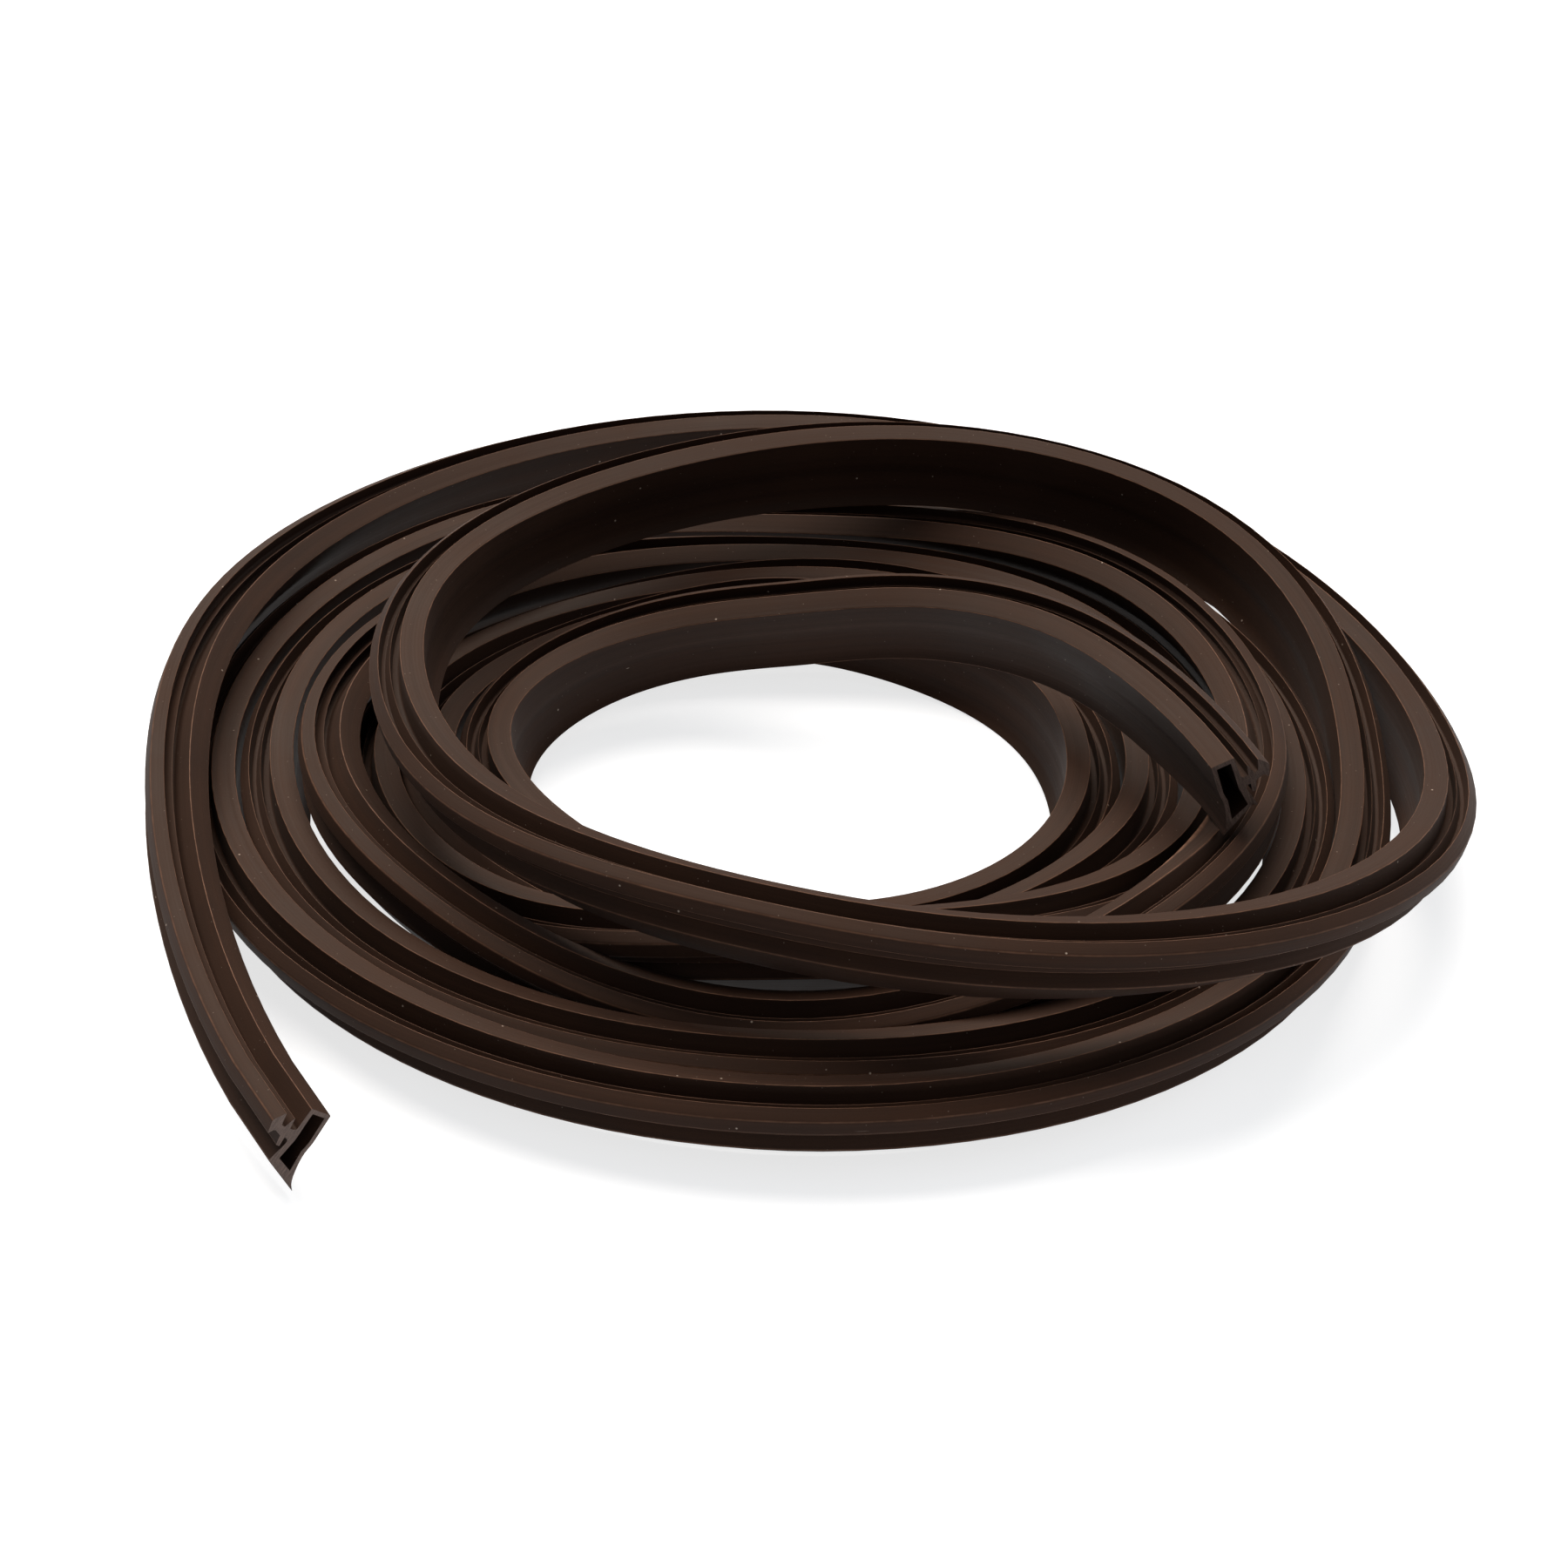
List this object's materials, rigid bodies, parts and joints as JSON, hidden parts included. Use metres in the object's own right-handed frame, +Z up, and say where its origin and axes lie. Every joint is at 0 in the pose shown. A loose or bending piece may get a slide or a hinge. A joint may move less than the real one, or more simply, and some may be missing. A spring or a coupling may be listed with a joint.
{
  "type": "door seal profile",
  "caption": "Hollow rubber door seal strip with arrow foot, fins and sealing lip, lying as a loose coil with both cut ends free.",
  "frame": {"origin": "centre of the coil's bounding box, at floor level", "axes": "+Z up from the floor the coil lies on, +Y toward the side of the coil opposite the two free ends, +X toward the side where the upper free end lies"},
  "size_m": [0.2954, 0.3148, 0.0512],
  "materials": {
    "rubber": "satin dark brown"
  },
  "bodies": {
    "root": {"seal_strip": "rubber"}
  },
  "joints": []
}
